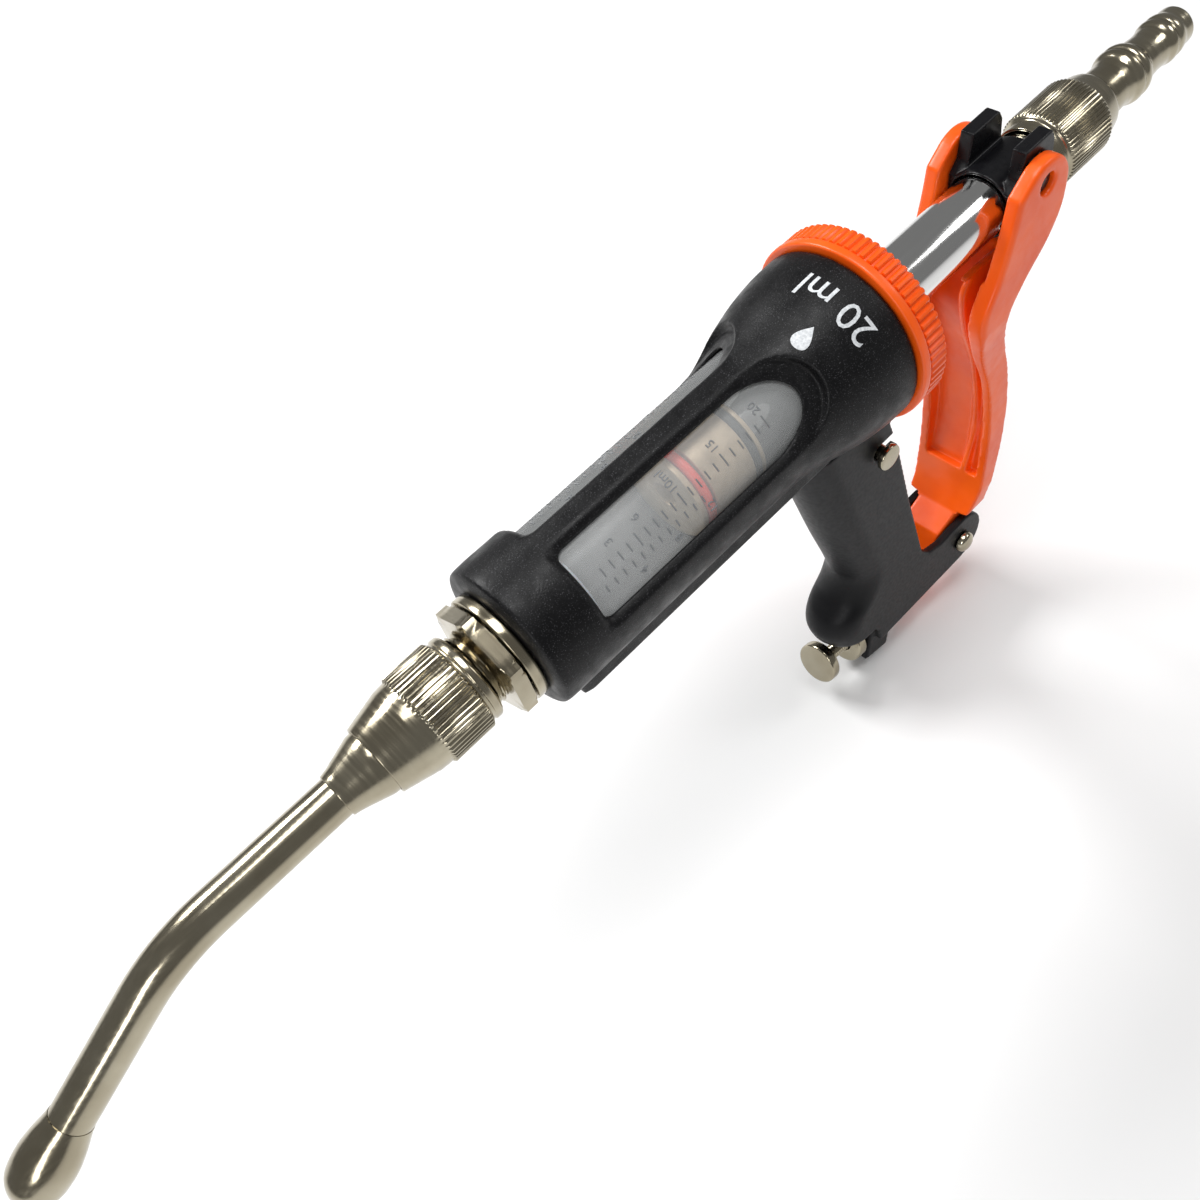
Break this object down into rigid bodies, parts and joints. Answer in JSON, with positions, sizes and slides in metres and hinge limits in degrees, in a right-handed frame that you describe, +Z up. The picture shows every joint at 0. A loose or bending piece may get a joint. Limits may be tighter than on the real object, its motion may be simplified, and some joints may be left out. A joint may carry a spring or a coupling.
{
  "type": "drench gun",
  "caption": "Hand-held pistol-grip liquid dosing gun: hook nozzle with ball end, windowed sleeve over a graduated cylinder, squeeze lever on a chromed piston tube, hose tail.",
  "frame": {"origin": "centre of the bounding box", "axes": "+X backwards along the barrel from nozzle to hose tail, +Y to the right of someone holding the gun with the nozzle ahead, +Z up; the handle hangs towards -Z"},
  "size_m": [0.3624, 0.046, 0.1532],
  "materials": {
    "black_plastic": "fine sparkle grain",
    "handle_plastic": "smooth satin",
    "orange_plastic": "soft gloss",
    "milky_plastic": "translucent, milky",
    "nickel": "satin nickel plate",
    "chrome": "mirror chrome plate",
    "steel": "plain bright steel",
    "brass": "turned",
    "red_rubber": "smooth",
    "black_rubber": "smooth",
    "acetal": "natural"
  },
  "bodies": {
    "frame": {"sleeve": "black_plastic", "front_handle": "handle_plastic", "handle_screw_front": "steel", "handle_screw_rear": "steel", "dose_cylinder": "milky_plastic", "cylinder_head": "acetal", "cylinder_front_o_ring": "black_rubber", "cylinder_rear_o_ring": "black_rubber", "stem_washer": "nickel", "outlet_stem": "nickel", "outlet_valve_spring": "steel", "rod_guide_bush": "acetal", "rod_wiper": "black_rubber", "spring_anchor_pin": "nickel", "return_spring": "steel", "pivot_pin": "nickel", "pivot_clip": "steel"},
    "outlet_valve": {"outlet_valve_poppet": "brass"},
    "collar": {"rear_collar": "orange_plastic"},
    "piston": {"piston_head": "brass", "piston_o_ring": "red_rubber", "piston_rear_ring": "black_rubber", "piston_tube": "chrome", "yoke": "black_plastic", "yoke_set_screw": "steel", "inlet_valve_spring": "steel"},
    "inlet_valve": {"inlet_valve_poppet": "brass"},
    "hose_nut_body": {"hose_nut": "nickel"},
    "hose_tail_body": {"hose_tail": "nickel", "hose_washer": "black_rubber"},
    "lever": {"rear_lever": "orange_plastic", "left_slide_pin": "steel", "right_slide_pin": "steel", "pivot_bush": "acetal"},
    "nozzle": {"nozzle_tube": "nickel", "nozzle_ferrule": "nickel", "nozzle_tip": "nickel", "nozzle_gasket": "black_rubber"},
    "nozzle_nut_body": {"nozzle_nut": "nickel"},
    "dose_feed": {"dose_screw": "nickel"},
    "dose_knob_body": {"dose_knob": "nickel"},
    "lock_nut": {"dose_lock_nut": "nickel"}
  },
  "joints": [
    {"name": "lever_swing", "type": "hinge", "parent": "frame", "child": "lever", "pos_m": [0.09022, 0, -0.05537], "axis": [0, -1, 0], "range_deg": [0, 14.05], "stiffness_Nm_per_rad": 0.8, "springref_deg": -20.05, "deforming": ["return_spring"]},
    {"name": "piston_slide", "type": "slide", "parent": "frame", "child": "piston", "axis": [-1, 0, 0], "range_m": [0, 0.0287]},
    {"name": "outlet_valve_lift", "type": "slide", "parent": "frame", "child": "outlet_valve", "axis": [-1, 0, 0], "range_m": [0, 0.002], "stiffness_N_per_m": 200, "springref_m": -0.003, "deforming": ["outlet_valve_spring"]},
    {"name": "inlet_valve_lift", "type": "slide", "parent": "piston", "child": "inlet_valve", "axis": [-1, 0, 0], "range_m": [0, 0.0015], "stiffness_N_per_m": 200, "springref_m": -0.003, "deforming": ["inlet_valve_spring"]},
    {"name": "collar_turn", "type": "hinge", "parent": "frame", "child": "collar", "pos_m": [0.05612, 0, 0.05363], "axis": [1, 0, 0], "continuous": true},
    {"name": "hose_nut_turn", "type": "hinge", "parent": "piston", "child": "hose_nut_body", "pos_m": [0.13222, 0, 0.05363], "axis": [1, 0, 0], "continuous": true},
    {"name": "hose_tail_swivel", "type": "hinge", "parent": "piston", "child": "hose_tail_body", "pos_m": [0.15622, 0, 0.05363], "axis": [1, 0, 0], "continuous": true},
    {"name": "nozzle_swivel", "type": "hinge", "parent": "frame", "child": "nozzle", "pos_m": [-0.07378, 0, 0.05363], "axis": [1, 0, 0], "continuous": true},
    {"name": "nozzle_nut_turn", "type": "hinge", "parent": "frame", "child": "nozzle_nut_body", "pos_m": [-0.06878, 0, 0.05363], "axis": [1, 0, 0], "continuous": true},
    {"name": "dose_screw_feed", "type": "slide", "parent": "frame", "child": "dose_feed", "axis": [-0.9703, 0, 0.2419], "range_m": [0, 0.004]},
    {"name": "dose_knob_turn", "type": "hinge", "parent": "dose_feed", "child": "dose_knob_body", "pos_m": [0.03572, 0, -0.06387], "axis": [-0.9703, 0, 0.2419], "range_deg": [0, 1810]},
    {"name": "lock_nut_turn", "type": "hinge", "parent": "frame", "child": "lock_nut", "pos_m": [0.04736, 0, -0.06677], "axis": [-0.9703, 0, 0.2419], "continuous": true}
  ],
  "couplings": [
    {"joint": "piston_slide", "follows": "lever_swing", "m_per_rad": 0.11663},
    {"joint": "dose_knob_turn", "follows": "dose_screw_feed", "rad_per_m": 7854}
  ]
}
